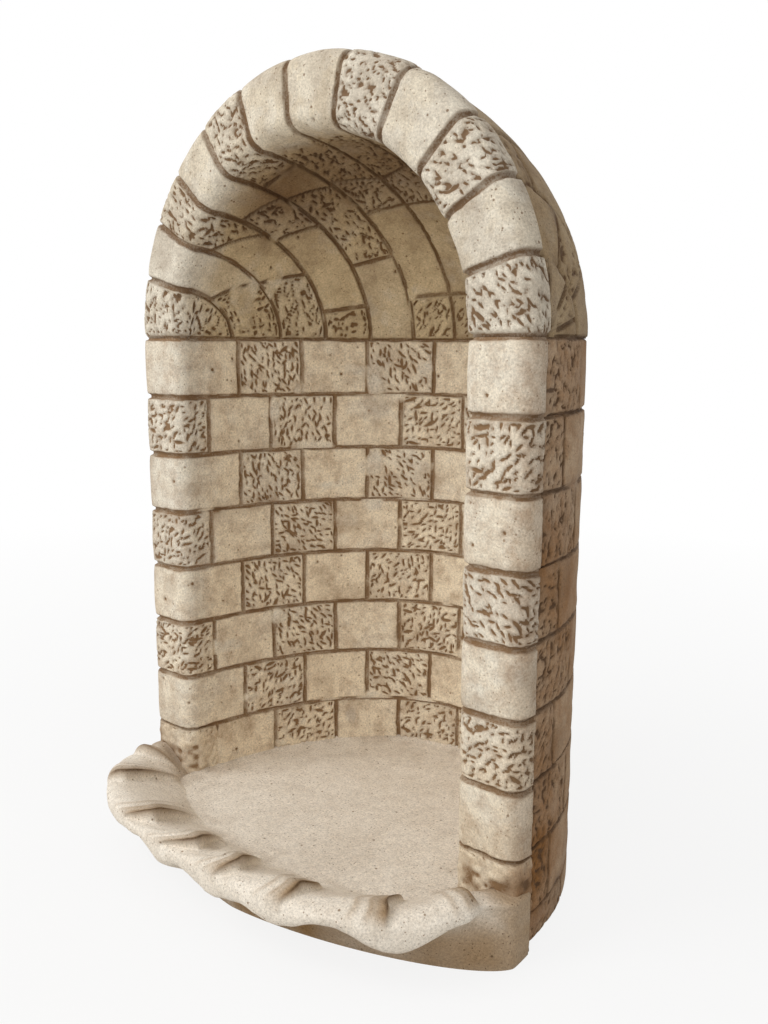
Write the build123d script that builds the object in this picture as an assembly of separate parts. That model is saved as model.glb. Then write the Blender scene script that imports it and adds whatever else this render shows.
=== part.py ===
"""Statue niche of cast stone: a round-backed alcove under a half dome, with a shell basin in front.

The origin is on the ground, on the centre line, in the plane of the pier fronts.  X runs to the
right, Y into the niche and Z up, in millimetres.
"""
import math
import os

from build123d import *

# Driving dimensions of the front frame: two piers that carry a half-round arch.
frame_half_width = 300
pier_width = 80
frame_depth = 34
spring_height = 635
frame_edge_radius = 20
arch_joint_shares = (0.083, 0.165, 0.245, 0.337, 0.43, 0.523, 0.609, 0.688, 0.764, 0.837, 0.915)

# Driving dimensions of the round wall and of the half dome above it.
niche_depth = 312
back_wall_thickness = 31
side_step = 7
wall_stave_count = 9
dome_split_joints = (2, 4, 5, 7, 8, 10)

# Driving dimensions of the joints that are cut into the faces of walls, piers and dome.
course_height = 75.2
cut_course_count = 7
joint_width = 6
joint_depth = 3.5

# Driving dimensions of the floor and of the shell basin that stands out in front of it.
floor_height = 44
floor_clearance = 0.3
basin_side_inset = 15
basin_front = 80
lip_reach = 96
lip_end_inset = 21
crest_rise = 42
crest_setback = 17
rim_drop = 31
foot_setback = 60
foot_end_inset = 6
crease_depth = 9
crease_shares = (0.05, 0.144, 0.264, 0.416, 0.577, 0.722, 0.871, 0.96)
lip_corner_share = 0.4
foot_corner_share = 0.69
oval_corner_share = 0.5

# Sizes that follow from the driving ones.
opening_half_width = frame_half_width - pier_width
wall_half_width = frame_half_width - side_step
wall_back = niche_depth + back_wall_thickness
crest_height = floor_height + crest_rise
rim_height = crest_height - rim_drop
basin_half_width = opening_half_width - basin_side_inset
rim_half_width = frame_half_width - lip_end_inset
rim_front = basin_front + lip_reach
crest_half_width = rim_half_width - crest_setback
crest_front = rim_front - crest_setback
foot_half_width = frame_half_width - foot_end_inset
foot_front = rim_front - foot_setback
everything = frame_half_width + wall_back + spring_height
half_turn = 180
upward_turn = Axis((0, 0, 0), (0, -1, 0))
quarter_handle_share = 4 * (math.sqrt(2) - 1) / 3


def half_oval(half_width, front, back):
    """Plan bounded by a straight front line and by a smooth half oval that reaches to the back."""
    rise = back - front
    corner_x, corner_y = quarter_handle_share * half_width, quarter_handle_share * rise
    right = Bezier((half_width, front), (half_width, front + corner_y), (corner_x, back), (0, back))
    left = Bezier((0, back), (-corner_x, back), (-half_width, front + corner_y), (-half_width, front))
    return make_face([right, left, Line((-half_width, front), (half_width, front))])


def hollow_plan():
    """Plan of the hollow, from the front plane to the back of the niche."""
    return half_oval(opening_half_width, 0, niche_depth)


def outside_plan():
    """Plan of the outside behind the frame."""
    return half_oval(wall_half_width, frame_depth, wall_back)


def frame_section():
    """Section of the right pier, which is also the section of the arch measured from its centre."""
    bar = Rectangle(frame_half_width, frame_depth, align=(Align.MIN, Align.MIN))
    bar = bar - hollow_plan()
    front_corners = bar.vertices().filter_by_position(Axis.Y, 0, 0)
    return fillet(front_corners, frame_edge_radius)


def wall_plan():
    """Plan of the round wall behind the frame, both halves."""
    return outside_plan() - hollow_plan()


def wall_core_plan():
    """Plan of the round wall at a joint, which is cut into both of its faces."""
    outside = half_oval(wall_half_width - joint_depth, frame_depth, wall_back - joint_depth)
    return outside - half_oval(opening_half_width + joint_depth, 0, niche_depth + joint_depth)


def pier_core_plan():
    """Plan of the right pier at a joint, which is cut into its front and both of its sides."""
    core = Rectangle(pier_width - 2 * joint_depth, frame_depth - joint_depth, align=(Align.MIN, Align.MIN))
    return Pos(opening_half_width + joint_depth, joint_depth) * core


def cut_bed_joints(piece, core):
    """The piece with level joints between its courses, cut in as far as the core plan."""
    around = extrude(Rectangle(2 * everything, 2 * everything) - core, joint_width)
    beds = [spring_height - course_height * number for number in range(1, cut_course_count + 1)]
    for bed in beds:
        piece = piece - Pos(0, 0, bed - joint_width / 2) * around
    return piece


def right_half(plan):
    """The part of a plan on the right of the centre line."""
    side = Rectangle(everything, 2 * everything, align=(Align.MIN, Align.CENTER))
    return plan & side


def polar(radius, degrees):
    """Point at a distance from the origin, in a direction counted from +X."""
    angle = math.radians(degrees)
    return (radius * math.cos(angle), radius * math.sin(angle))


def make_piers():
    """Right and left pier, from the ground to the spring line."""
    right = cut_bed_joints(extrude(frame_section(), spring_height), pier_core_plan())
    return {"right_pier": right, "left_pier": mirror(right, about=Plane.YZ)}


def make_arch_stones():
    """Wedge stones of the arch, counted from the right spring."""
    section = frame_section()
    joints = [0, *(half_turn * share for share in arch_joint_shares), half_turn]
    stones = {}
    for number, (start, end) in enumerate(zip(joints, joints[1:]), 1):
        wedge = revolve(section, axis=upward_turn, revolution_arc=end - start)
        stones[f"arch_stone_{number:02d}"] = Pos(0, 0, spring_height) * Rot(0, -start, 0) * wedge
    return stones


def make_wall_staves():
    """Upright segments of the round wall, counted from the right."""
    plan = wall_plan()
    core = wall_core_plan()
    step = half_turn / wall_stave_count
    staves = {}
    for number in range(wall_stave_count):
        fan = Polygon(
            (0, 0),
            polar(everything, number * step),
            polar(everything, (number + 1) * step),
            align=None,
        )
        stave = extrude(plan & (Pos(0, frame_depth) * fan), spring_height)
        staves[f"wall_stave_{number + 1}"] = cut_bed_joints(stave, core)
    return staves


def strip(solid, left, right):
    """The part of a solid between two upright planes across the niche."""
    box = Box(right - left, 2 * everything, 2 * everything, align=(Align.MIN, Align.CENTER, Align.CENTER))
    return solid & (Pos(left, 0, 0) * box)


def make_dome_gores():
    """Strips of the half dome, split along some of the arch's joints and cut in along all of them,
    counted from the right."""
    shell = revolve(right_half(wall_plan()), axis=upward_turn, revolution_arc=half_turn)
    core = revolve(right_half(wall_core_plan()), axis=upward_turn, revolution_arc=half_turn)
    lines = [polar(opening_half_width, half_turn * share)[0] for share in arch_joint_shares]
    ends = [everything, *(lines[joint - 1] for joint in dome_split_joints), -everything]
    gores = {}
    for number, (right, left) in enumerate(zip(ends, ends[1:]), 1):
        gore = strip(shell, left, right)
        for line in lines:
            if left <= line <= right:
                groove = strip(gore, line - joint_width / 2, line + joint_width / 2)
                gore = gore - (groove - core)
        gores[f"dome_gore_{number}"] = Pos(0, 0, spring_height) * gore
    return gores


def reach(degrees, half_width, front, corner_share):
    """Distance from the centre to a rounded outline: half a share is an oval, less is squarer."""
    angle = math.radians(degrees)
    across = abs(math.cos(angle) / half_width) ** (1 / corner_share)
    along = abs(math.sin(angle) / front) ** (1 / corner_share)
    return (across + along) ** -corner_share


def crease_directions():
    """Directions of the creases between the shell's lobes, from the left pier round to the right one."""
    return [half_turn + half_turn * share for share in (0, *crease_shares, 1)]


def basin_point(degrees):
    """Corner of the basin floor in the direction of a crease."""
    return polar(reach(degrees, basin_half_width, basin_front, oval_corner_share), degrees)


def chord_reach(degrees, start, end):
    """Distance from the centre to the straight line between two corners, in the given direction."""
    ahead = Vector(*polar(1, degrees))
    chord = Vector(*end) - Vector(*start)
    return Vector(*start).cross(chord).Z / ahead.cross(chord).Z


def lip_section(degrees, inner, hollowing):
    """Upright section of the shell lip in one direction; hollowing pulls it in along a crease."""
    crest = reach(degrees, crest_half_width, crest_front, lip_corner_share) - hollowing
    rim = reach(degrees, rim_half_width, rim_front, lip_corner_share) - hollowing
    foot = reach(degrees, foot_half_width, foot_front, foot_corner_share)
    top = crest_height - hollowing
    shoulder = (rim, (top + rim_height) / 2)
    upright = Plane((0, 0, 0), x_dir=(*polar(1, degrees), 0), z_dir=(*polar(1, degrees - 90), 0))
    outline = [
        Line((inner, 0), (inner, floor_height)),
        Line((inner, floor_height), (crest, top)),
        ThreePointArc((crest, top), shoulder, (rim, rim_height)),
        Line((rim, rim_height), (foot, 0)),
        Line((foot, 0), (inner, 0)),
    ]
    return upright * make_face(outline)


def make_lip_lobes():
    """Lobes of the shell basin, each lofted from crease to crown to crease."""
    directions = crease_directions()
    lobes = {}
    for number, (start, end) in enumerate(zip(directions, directions[1:]), 1):
        first, last = basin_point(start), basin_point(end)
        middle = (start + end) / 2
        sections = [
            lip_section(start, Vector(*first).length, crease_depth),
            lip_section(middle, chord_reach(middle, first, last), 0),
            lip_section(end, Vector(*last).length, crease_depth),
        ]
        lobes[f"lip_lobe_{number}"] = loft(sections)
    return lobes


def make_floor_slab():
    """Floor of the niche and of the basin, let in between the walls with a small clearance."""
    inside = half_oval(opening_half_width - floor_clearance, 0, niche_depth - floor_clearance)
    basin = Polygon(*(basin_point(degrees) for degrees in crease_directions()), align=None)
    return extrude(inside + basin, floor_height)


def main():
    """Build every piece and write each to its own file."""
    pieces = {"floor_slab": make_floor_slab()}
    pieces.update(make_piers())
    pieces.update(make_arch_stones())
    pieces.update(make_wall_staves())
    pieces.update(make_dome_gores())
    pieces.update(make_lip_lobes())
    os.makedirs("parts", exist_ok=True)
    for name, piece in pieces.items():
        export_step(piece, f"parts/{name}.step")
        print(name, round(piece.volume), "cubic mm")


main()
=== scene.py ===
# %% [markdown]
# # A statue niche cast in stone
# The real thing is a garden or chapel niche: a round-headed recess with a rope-like basin lip at its foot.
# It is cast in one piece, and joints are cut into the skin so that it looks built of small blocks, every
# other one of them pecked with a point. Here the exact solids give every size, and numpy works out the
# skin: the grooves, the rounded block edges, the tool marks and the twisted lip.

# %% Load the frame
import math
import bmesh
import bpy
import numpy as np
from mathutils import Matrix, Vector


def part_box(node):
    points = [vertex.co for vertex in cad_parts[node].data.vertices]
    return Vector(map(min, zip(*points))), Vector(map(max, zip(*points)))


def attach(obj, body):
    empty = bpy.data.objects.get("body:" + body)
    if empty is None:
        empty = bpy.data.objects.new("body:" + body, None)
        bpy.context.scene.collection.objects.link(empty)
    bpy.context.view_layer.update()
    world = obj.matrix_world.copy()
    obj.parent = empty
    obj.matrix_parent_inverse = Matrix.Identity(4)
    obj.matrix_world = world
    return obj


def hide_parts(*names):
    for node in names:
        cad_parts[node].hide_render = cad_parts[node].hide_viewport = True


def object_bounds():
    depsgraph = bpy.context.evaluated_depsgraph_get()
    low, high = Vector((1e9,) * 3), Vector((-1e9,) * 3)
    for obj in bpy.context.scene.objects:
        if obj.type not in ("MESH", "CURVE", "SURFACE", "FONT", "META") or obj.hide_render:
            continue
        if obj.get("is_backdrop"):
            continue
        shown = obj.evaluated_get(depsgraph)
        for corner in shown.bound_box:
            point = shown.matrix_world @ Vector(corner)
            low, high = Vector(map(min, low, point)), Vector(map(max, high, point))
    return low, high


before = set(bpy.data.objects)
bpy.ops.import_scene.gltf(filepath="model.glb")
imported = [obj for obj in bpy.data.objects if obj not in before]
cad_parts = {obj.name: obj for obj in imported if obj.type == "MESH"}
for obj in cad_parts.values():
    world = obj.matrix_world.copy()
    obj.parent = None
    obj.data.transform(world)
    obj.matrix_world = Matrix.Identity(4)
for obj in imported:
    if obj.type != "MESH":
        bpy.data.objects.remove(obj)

cad_low, cad_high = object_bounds()
print("CAD box", [round(v, 3) for v in (*cad_low, *cad_high)])

# %% [markdown]
# ## Sizes read from the solids
# A niche like this is drawn from a few figures: how wide the opening is, how deep the hollow, where the
# arch springs and how high the floor lies. They could be typed in again, but then the skin would part from
# the solids as soon as one of them changed. So each one is read from the box of a solid.

# %% Sizes of the niche
mm = 0.001
stave_names = [f"wall_stave_{n}" for n in range(1, 10)]
gore_names = [f"dome_gore_{n}" for n in range(1, 8)]
stone_names = [f"arch_stone_{n:02d}" for n in range(1, 13)]
lobe_names = [f"lip_lobe_{n}" for n in range(1, 10)]

pier_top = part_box("right_pier")[1]
half_width, frame_depth, spring = pier_top.x, pier_top.y, pier_top.z
slab_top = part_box("floor_slab")[1]
opening, hollow_depth, floor_level = slab_top.x, slab_top.y, slab_top.z
wall_half = max(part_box(name)[1].x for name in stave_names)
wall_back = cad_high.y
lip_reach = -cad_low.y
lip_half = max(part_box(name)[1].x for name in lobe_names)
crest_level = max(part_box(name)[1].z for name in lobe_names)
edge_radius = 20 * mm
print("opening", round(2 * opening, 3), "deep", round(hollow_depth, 3), "spring", round(spring, 3))

# %% [markdown]
# ## The camera
# The niche is seen from its front right, a little from above, with a lens that is neither long nor wide.
# A camera can be aimed with a tracking constraint, but a matrix made from three angles is plainer here:
# yaw round the upright, pitch downwards, and a trace of roll, as a hand-held camera has.

# %% Place the camera
camera_place = (764.6 * mm, -751.6 * mm, 624.4 * mm)
yaw, pitch, roll = (math.radians(v) for v in (40.42, 9.86, 0.26))
sensor_width = 36.0
focal_pixels, picture_height = 945.4, 1024

ahead = np.array([-math.sin(yaw) * math.cos(pitch), math.cos(yaw) * math.cos(pitch), -math.sin(pitch)])
level = np.array([math.cos(yaw), math.sin(yaw), 0.0])
upright = np.cross(level, ahead)
side = math.cos(roll) * level + math.sin(roll) * upright
top = math.cos(roll) * upright - math.sin(roll) * level

camera_data = bpy.data.cameras.new("photo_camera")
camera_data.sensor_width = sensor_width
camera_data.lens = focal_pixels * sensor_width / picture_height
camera = bpy.data.objects.new("photo_camera", camera_data)
camera.matrix_world = Matrix(
    [[side[k], top[k], -ahead[k], camera_place[k]] for k in range(3)] + [[0, 0, 0, 1]]
)
bpy.context.scene.collection.objects.link(camera)
bpy.context.scene.camera = camera
print("lens", round(camera_data.lens, 2), "mm")

# %% [markdown]
# ## Studio light
# Pale stone needs soft light, or every tool mark throws a hard shadow. One large lamp stands at the front
# left and above, as a window would, a weak one fills from the right, and a pale sky does the rest. More
# light would make the backdrop white too, and wash out the stone. Instead Light Path makes sky and floor
# white only where they are looked at. Near the niche the floor keeps some of its own paint, for the shadow.

# %% Lamps
view = bpy.context.scene.view_settings
view.view_transform = "Standard"


def soft_lamp(name, place, target, size, power):
    """A square lamp at a place, turned so that its -Z axis runs along the line to the target."""
    lamp = bpy.data.lights.new(name, "AREA")
    lamp.size = size
    lamp.energy = power
    holder = bpy.data.objects.new(name, lamp)
    line = np.array(target) - np.array(place)
    back = -line / np.linalg.norm(line)
    across = np.cross((0.0, 0.0, 1.0), back)
    across /= np.linalg.norm(across)
    raised = np.cross(back, across)
    holder.matrix_world = Matrix(
        [[across[k], raised[k], back[k], place[k]] for k in range(3)] + [[0, 0, 0, 1]]
    )
    bpy.context.scene.collection.objects.link(holder)


lamp_target = (0.0, 0.0, 0.5)
soft_lamp("window_lamp", place=(-1.15, -2.0, 2.6), target=lamp_target, size=1.6, power=44)
soft_lamp("fill_lamp", place=(0.9, -2.6, 1.3), target=lamp_target, size=1.6, power=17)
print("two soft lamps aimed at", lamp_target)

# %% Sky
sky_tint, sky_level = (1.0, 0.99, 0.97, 1), 0.65
white = (1, 1, 1, 1)


def seen_rays(tree):
    """A value of 1 for rays that see the backdrop, straight on, in a gloss or through glass, and 0 for the
    rays that carry light: the largest of three outputs of Light Path."""
    rays = tree.nodes.new("ShaderNodeLightPath").outputs
    share = rays["Is Camera Ray"]
    for ray in ("Is Glossy Ray", "Is Transmission Ray"):
        larger = tree.nodes.new("ShaderNodeMath")
        larger.operation = "MAXIMUM"
        tree.links.new(share, larger.inputs[0])
        tree.links.new(rays[ray], larger.inputs[1])
        share = larger.outputs["Value"]
    return share


world = bpy.data.worlds.new("pale_sky")
world.use_nodes = True
sky = world.node_tree
sky_light = sky.nodes["Background"]
sky_light.inputs["Color"].default_value = sky_tint
sky_light.inputs["Strength"].default_value = sky_level
sky_white = sky.nodes.new("ShaderNodeBackground")
sky_white.inputs["Color"].default_value = white
sky_white.inputs["Strength"].default_value = 1.0
sky_mix = sky.nodes.new("ShaderNodeMixShader")
sky.links.new(seen_rays(sky), sky_mix.inputs["Fac"])
sky.links.new(sky_light.outputs["Background"], sky_mix.inputs[1])
sky.links.new(sky_white.outputs["Background"], sky_mix.inputs[2])
sky.links.new(sky_mix.outputs["Shader"], sky.nodes["World Output"].inputs["Surface"])
bpy.context.scene.world = world
print("sky of strength", sky_level, "that looks white")

# %% Studio floor
floor_reach = 12.0
floor_tint = (0.68, 0.67, 0.65, 1)
glow_near, glow_far = 0.85, 1.0
fade_start, fade_end = 0.5, 2.4
corner_signs = ((-1, -1), (1, -1), (1, 1), (-1, 1))
floor_corners = [(x * floor_reach, y * floor_reach, 0.0) for x, y in corner_signs]
floor_mesh = bpy.data.meshes.new("studio_floor")
floor_mesh.from_pydata(floor_corners, [], [(0, 1, 2, 3)])
floor = bpy.data.objects.new("studio_floor", floor_mesh)
bpy.context.scene.collection.objects.link(floor)
floor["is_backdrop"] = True

floor_paint = bpy.data.materials.new("studio_floor_paint")
floor_paint.use_nodes = True
paint_tree = floor_paint.node_tree
floor_bsdf = paint_tree.nodes["Principled BSDF"]
floor_bsdf.inputs["Base Color"].default_value = floor_tint
floor_bsdf.inputs["Roughness"].default_value = 0.9
floor_glow = paint_tree.nodes.new("ShaderNodeEmission")
floor_glow.inputs["Color"].default_value = white
floor_glow.inputs["Strength"].default_value = 1.0
floor_share = paint_tree.nodes.new("ShaderNodeMath")
floor_share.operation = "MULTIPLY"
floor_place = paint_tree.nodes.new("ShaderNodeTexCoord")
floor_way = paint_tree.nodes.new("ShaderNodeVectorMath")
floor_way.operation = "LENGTH"
floor_fade = paint_tree.nodes.new("ShaderNodeMapRange")
fade_settings = {"From Min": fade_start, "From Max": fade_end, "To Min": glow_near, "To Max": glow_far}
for socket, value in fade_settings.items():
    floor_fade.inputs[socket].default_value = value
paint_tree.links.new(floor_place.outputs["Object"], floor_way.inputs[0])
paint_tree.links.new(floor_way.outputs["Value"], floor_fade.inputs["Value"])
paint_tree.links.new(floor_fade.outputs["Result"], floor_share.inputs[1])
floor_mix = paint_tree.nodes.new("ShaderNodeMixShader")
paint_tree.links.new(seen_rays(paint_tree), floor_share.inputs[0])
paint_tree.links.new(floor_share.outputs["Value"], floor_mix.inputs["Fac"])
paint_tree.links.new(floor_bsdf.outputs["BSDF"], floor_mix.inputs[1])
paint_tree.links.new(floor_glow.outputs["Emission"], floor_mix.inputs[2])
paint_tree.links.new(floor_mix.outputs["Shader"], paint_tree.nodes["Material Output"].inputs["Surface"])
floor_mesh.materials.append(floor_paint)
print("pale floor, white from", fade_end, "m on")

# %% [markdown]
# ## Chance that repeats
# Tool marks and patches are uneven, but the script has to give the same niche each time. A random
# generator would do, yet its draws depend on their order. A hash gives a number from a place instead, so a
# mark stays where it is whatever else changes.

# %% Hash and smooth noise
hash_steps, hash_scale = (127.1, 311.7, 74.7), 43758.5453


def scatter(i, j, seed):
    """A number between 0 and 1 for each pair of whole numbers: the fraction left over from a large sine."""
    step_i, step_j, step_seed = hash_steps
    return (np.sin(i * step_i + j * step_j + seed * step_seed) * hash_scale) % 1.0


def ease(share):
    """Smooth step from 0 to 1: three times the square less twice the cube of the share."""
    share = np.clip(share, 0.0, 1.0)
    return share * share * (3.0 - 2.0 * share)


def patches(x, y, seed):
    """Smooth noise: the hash at the four corners of a unit cell, blended with an eased share each way."""
    i, j = np.floor(x), np.floor(y)
    u, v = ease(x - i), ease(y - j)
    near = scatter(i, j, seed) * (1 - u) + scatter(i + 1, j, seed) * u
    far = scatter(i, j + 1, seed) * (1 - u) + scatter(i + 1, j + 1, seed) * u
    return near * (1 - v) + far * v


def mottle(x, y, size, seed):
    """Smooth noise whose patches have a given size: both places are counted in that size."""
    return patches(x / size, y / size, seed)


print("hash at (3, 4):", round(float(scatter(3, 4, 0)), 3))

# %% [markdown]
# ## Tool marks and joints
# The mason's look comes from two cuts. A joint is a flat-bottomed groove between two blocks, and the
# blocks roll over into it. A pecked block is full of short slanting pits, each left by one blow of a
# point. Both could be a bump in the material, but from the side a bump is flat. Here both are real depth:
# a formula says how far the skin sinks at each place, and the same figures colour the dirt in it.

# %% Tool marks and air holes
peck_pitch, gouge_pitch = 8.4 * mm, 16 * mm
peck_size, gouge_size = (4.6 * mm, 1.5 * mm), (6.5 * mm, 2.2 * mm)
peck_share, gouge_share = 0.85, 0.32
peck_depth = 2.8 * mm
hole_pitch = 30 * mm
hole_radius, hole_depth = 1.8 * mm, 2.4 * mm
hole_share = 0.18
least_lean, lean_span, gouge_turn = 0.5, 2.1, 0.7


def stroke_lean(block, row, seed):
    """Which way the mason struck on a block: an angle in radians above the least one, by the hash."""
    return least_lean + lean_span * scatter(block, row, seed)


def near_cells(p, q, pitch):
    """The nine cells of a square net round each point, one pair of whole-number arrays after another."""
    column, row = np.floor(p / pitch), np.floor(q / pitch)
    return [(column + a, row + b) for a in (-1, 0, 1) for b in (-1, 0, 1)]


def peck_marks(p, q, lean, pitch, half_size, kept, seed):
    """Point marks: each net cell holds one oval, shifted and turned by the hash, and a place takes the mark
    that reaches furthest over it. Two numbers come back: the depth share, which falls from 1 to 0 at the
    oval's edge, and how far inside the edge the place lies, as a share of the oval."""
    deepest, furthest = np.zeros_like(p), np.full_like(p, -1.0)
    for i, j in near_cells(p, q, pitch):
        along_p = p - (i + 0.5 + 0.85 * (scatter(i, j, seed) - 0.5)) * pitch
        along_q = q - (j + 0.5 + 0.85 * (scatter(i, j, seed + 1) - 0.5)) * pitch
        turn = lean + 1.5 * (scatter(i, j, seed + 2) - 0.5)
        size = 0.55 + 0.85 * scatter(i, j, seed + 3)
        length = (along_p * np.cos(turn) + along_q * np.sin(turn)) / (half_size[0] * size)
        breadth = (along_q * np.cos(turn) - along_p * np.sin(turn)) / (half_size[1] * (0.5 + 0.5 * size))
        inside = np.where(scatter(i, j, seed + 5) < kept, 1 - np.hypot(length, breadth), -1.0)
        mark = ease((inside + 0.15) / 0.42) * (0.6 + 0.4 * scatter(i, j, seed + 4))
        deepest, furthest = np.maximum(deepest, mark), np.maximum(furthest, inside)
    return deepest, furthest


def air_holes(p, q, seed):
    """The odd air hole in the cast: a share of the cells holds a round pit of its own size. The depth share
    and how far inside the edge a place lies come back, as with the point marks."""
    furthest = np.full_like(p, -1.0)
    for i, j in near_cells(p, q, hole_pitch):
        along_p = p - (i + scatter(i, j, seed)) * hole_pitch
        along_q = q - (j + scatter(i, j, seed + 1)) * hole_pitch
        radius = hole_radius * (0.5 + 0.9 * scatter(i, j, seed + 2))
        inside = 1 - np.hypot(along_p, along_q) / radius
        furthest = np.maximum(furthest, np.where(scatter(i, j, seed + 3) > 1 - hole_share, inside, -1.0))
    return ease((furthest + 0.2) / 0.5), furthest


print("peck marks every", peck_pitch / mm, "mm, gouges every", gouge_pitch / mm, "mm")

# %% Joints and the dressed skin
wall_joint_half, frame_joint_half = 3.1 * mm, 4.2 * mm
wall_joint_depth, frame_joint_depth = 3.0 * mm, 3.8 * mm
wall_roll, frame_roll = 0.8 * mm, 1.7 * mm
wall_roll_reach, frame_roll_reach = 5 * mm, 8 * mm
joint_wander, wander_patch = 1.5 * mm, 7 * mm
fill_length, fill_height, fill_limit = 36 * mm, 27 * mm, 0.78
mark_margin, hole_margin = 2.5 * mm, 3 * mm
wave_height, wave_patch = 1.3 * mm, 26 * mm
tooth_height, tooth_patch = 0.6 * mm, 9 * mm
stain_blur, stain_patch = 5 * mm, 16 * mm
edge_dark_reach, edge_dark_patch = 8 * mm, 17 * mm
smear_length, smear_height = 40 * mm, 34 * mm


def dress_skin(p, q, gap, rough, lean, frame_share, seed):
    """How deep the skin sinks and how stained it is, from the place (p, q) in metres and the gap to the
    nearest joint: a groove with eased sides, a roll that dies away with the gap, marks on rough blocks that
    stop short of the joint, air holes, and slow waves. Here and there plaster fills it all, and the share
    of that comes back too."""
    joint_half = wall_joint_half + (frame_joint_half - wall_joint_half) * frame_share
    joint_depth = wall_joint_depth + (frame_joint_depth - wall_joint_depth) * frame_share
    roll = wall_roll + (frame_roll - wall_roll) * frame_share
    roll_reach = wall_roll_reach + (frame_roll_reach - wall_roll_reach) * frame_share
    ragged = gap + joint_wander * (mottle(p, q, wander_patch, seed) - 0.5)
    plastered = ease((patches(p / fill_length, q / fill_height, seed + 7) - fill_limit) / 0.1)
    filled = 0.9 * plastered * (1 - 0.9 * frame_share)
    groove = ease((joint_half - ragged) / (0.5 * joint_half)) * (1 - filled)
    clear = rough * ease((gap - 0.9 * joint_half) / mark_margin) * (1 - filled)
    pecks, in_peck = peck_marks(p, q, lean, peck_pitch, peck_size, peck_share, seed + 11)
    gouges, in_gouge = peck_marks(p, q, lean + gouge_turn, gouge_pitch, gouge_size, gouge_share, seed + 17)
    marks, in_mark = np.maximum(pecks, gouges), np.maximum(in_peck, in_gouge)
    holes, in_hole = air_holes(p, q, seed + 23)
    free = ease((gap - joint_half) / hole_margin)
    waves = wave_height * (mottle(p, q, wave_patch, seed + 31) - 0.5)
    waves += rough * tooth_height * (mottle(p, q, tooth_patch, seed + 37) - 0.5)
    depth = joint_depth * groove + roll * np.exp(-np.maximum(gap, 0) / roll_reach)
    depth += peck_depth * marks * clear + hole_depth * holes * free + waves
    joint_tone = 0.54 + 0.13 * mottle(p, q, stain_patch, seed + 47)
    joint_stain = np.clip(0.5 + (joint_half - ragged) / stain_blur, 0, joint_tone) * (1 - filled)
    pit_stain = np.maximum((0.5 + 0.6 * in_mark) * clear, (0.5 + 0.5 * in_hole) * free)
    # Darker near every joint, fading within a few millimetres, and broad brown smears.
    edge_dark_and_smears = 0.45 * np.exp(-np.maximum(gap, 0) / edge_dark_reach) * mottle(p, q, edge_dark_patch, seed + 41)
    edge_dark_and_smears += 0.38 * ease((patches(p / smear_length, q / smear_height, seed + 43) - 0.5) / 0.5)
    stain = np.maximum(np.maximum(joint_stain, pit_stain), edge_dark_and_smears)
    return depth, np.clip(stain, 0, 1), filled


# %% [markdown]
# ## Making meshes
# Each piece is a few grids of points and the strips that close them. Blender can bridge edge loops for us,
# but two rows with different counts are easily walked together in numpy, and then every piece is closed
# and the same each run. Four numbers ride on each point: how stained it is, the tone of its block, how pale
# the wash is, and how weathered it is. On the lip the stain and weather numbers, and under the dome's crown
# the weather number, also carry painted shade. The material reads them.

# %% Grids and strips


def grid_quads(rows, columns, start):
    """Four-sided faces of a grid of points numbered row by row from a start number."""
    ids = start + np.arange(rows * columns).reshape(rows, columns)
    faces = np.stack([ids[:-1, :-1], ids[:-1, 1:], ids[1:, 1:], ids[1:, :-1]], axis=-1).reshape(-1, 4)
    return ids, faces


def zip_strip(ids_a, at_a, ids_b, at_b):
    """Triangles between two rows of points: both rows are walked in the order of their places, and each
    step along either of them adds the triangle from the last pair to the new point."""
    order = np.argsort(np.concatenate([at_a[1:], at_b[1:]]), kind="stable")
    on_a = order < len(at_a) - 1
    i, j = np.cumsum(on_a), np.cumsum(~on_a)
    new = np.where(on_a, ids_a[np.minimum(i, len(ids_a) - 1)], ids_b[np.minimum(j, len(ids_b) - 1)])
    return np.stack([ids_a[i - on_a], ids_b[j - ~on_a], new], axis=1)


def spaced(total, count, places, crowd, reach):
    """Places from 0 to the total that crowd near some of them: equal steps of the running sum of a density
    of 1 with a bell of a given height and reach at each crowded place."""
    fine = np.linspace(0.0, total, 6001)
    bells = np.exp(-(((fine[:, None] - np.asarray(places)[None, :]) / reach) ** 2)).sum(axis=1)
    running = np.concatenate([[0.0], np.cumsum(1 + crowd * np.minimum(bells, 1.0))[:-1]])
    return np.interp(np.linspace(0.0, running[-1], count), running, fine)


def surface_normals(points, turn):
    """Unit normals of a grid: the cross product of its steps along rows and along columns, times a sign."""
    steps_down, steps_across = np.gradient(points, axis=0), np.gradient(points, axis=1)
    normals = np.cross(steps_across, steps_down)
    length = np.linalg.norm(normals, axis=-1, keepdims=True)
    return turn * normals / np.maximum(length, 1e-12)


print("a grid of 3 by 4 points has", len(grid_quads(3, 4, 0)[1]), "faces")

# %% From arrays to a piece
sharp_angle = math.radians(75)
weld_reach, sliver_reach = 1e-6, 1e-7


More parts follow.
